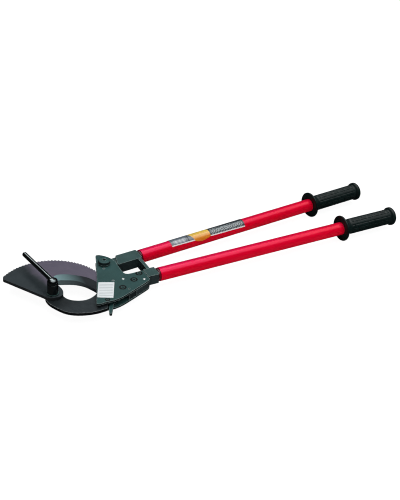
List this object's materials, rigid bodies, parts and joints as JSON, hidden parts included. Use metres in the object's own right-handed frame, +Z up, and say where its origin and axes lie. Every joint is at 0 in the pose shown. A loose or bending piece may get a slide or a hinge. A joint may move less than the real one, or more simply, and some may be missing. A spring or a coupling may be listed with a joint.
{
  "type": "ratchet cable cutter",
  "caption": "Two-handed ratcheting cable cutter with long red tube handles, rubber grips, hooked fixed jaw, toothed sector blade and lever nut; shears thick cable in steps",
  "frame": {"origin": "Centre of the bounding box at its base: the plane the tool lies on.", "axes": "+X runs from the cutting head along the fixed handle towards the grips, +Y from the fixed handle towards the moving handle, +Z up out of the side plate that carries the lever nut."},
  "size_m": [0.7272, 0.1834, 0.0578],
  "materials": {
    "plate_grey": "satin",
    "blade_steel": "satin",
    "jaw_steel": "satin",
    "black_gloss": "gloss",
    "red_paint": "gloss",
    "dark_red": "satin",
    "grip_rubber": "matte",
    "zinc": "satin",
    "bright_pin": "gloss",
    "screw_dark": "satin",
    "label_white": "matte",
    "spring_steel": "satin"
  },
  "bodies": {
    "frame_body": {"top_plate": "plate_grey", "bottom_plate": "plate_grey", "fixed_jaw": "jaw_steel", "rear_spacer": "plate_grey", "fixed_socket": "plate_grey", "fixed_tube": "red_paint", "fixed_tube_collar": "dark_red", "fixed_grip": "grip_rubber", "handle_pivot_bolt": "plate_grey", "handle_pivot_washer_top": "screw_dark", "handle_pivot_washer": "zinc", "handle_pivot_nut": "zinc", "plate_screw_1": "screw_dark", "plate_screw_2": "screw_dark", "plate_screw_3": "screw_dark", "plate_nut_1": "zinc", "plate_nut_2": "zinc", "plate_nut_3": "zinc", "guide_screw": "screw_dark", "dowel_pin": "bright_pin", "spring_anchor_pin": "bright_pin", "stop_pin": "bright_pin", "tang_pin": "bright_pin", "roll_pin": "screw_dark", "jaw_screw_1": "screw_dark", "jaw_screw_2": "screw_dark", "label_plate": "label_white", "pivot_stud": "screw_dark", "pivot_washer_lower": "zinc", "holding_pawl_spring": "spring_steel"},
    "blade_body": {"moving_blade": "blade_steel", "blade_bushing": "zinc"},
    "moving_handle": {"moving_socket": "plate_grey", "stop_arm": "plate_grey", "moving_tube": "red_paint", "moving_tube_collar": "dark_red", "handle_decal": "label_white", "moving_grip": "grip_rubber", "drive_pawl_pin": "bright_pin", "drive_pawl_spring": "spring_steel"},
    "drive_pawl_body": {"drive_pawl": "blade_steel"},
    "holding_pawl_body": {"holding_pawl": "blade_steel", "release_lever": "plate_grey", "pawl_rivet": "zinc"},
    "lock_body": {"lock_washer": "screw_dark", "lock_hub": "black_gloss", "lock_lever": "black_gloss"}
  },
  "joints": [
    {"name": "handle_swing", "type": "hinge", "parent": "frame_body", "child": "moving_handle", "pos_m": [-0.1986, 0.025, 0.0235], "axis": [0, 0, 1], "range_deg": [0, 30]},
    {"name": "drive_pawl_turn", "type": "hinge", "parent": "moving_handle", "child": "drive_pawl_body", "pos_m": [-0.1988, 0.0003, 0.0235], "axis": [0, 0, 1], "range_deg": [-54, 0.5]},
    {"name": "blade_swing", "type": "hinge", "parent": "frame_body", "child": "blade_body", "pos_m": [-0.3048, -0.01439, 0.0235], "axis": [0, 0, 1], "range_deg": [-95, 60]},
    {"name": "holding_pawl_turn", "type": "hinge", "parent": "frame_body", "child": "holding_pawl_body", "pos_m": [-0.1979, -0.04779, 0.0235], "axis": [0, 0, 1], "range_deg": [0, 10], "stiffness_Nm_per_rad": 0.2, "springref_deg": -20.05},
    {"name": "lock_lever_turn", "type": "hinge", "parent": "frame_body", "child": "lock_body", "pos_m": [-0.3048, -0.01439, 0.0235], "axis": [0, 0, 1], "continuous": true}
  ],
  "couplings": [
    {"joint": "drive_pawl_turn", "follows": "handle_swing", "ratio": -1.7779}
  ]
}
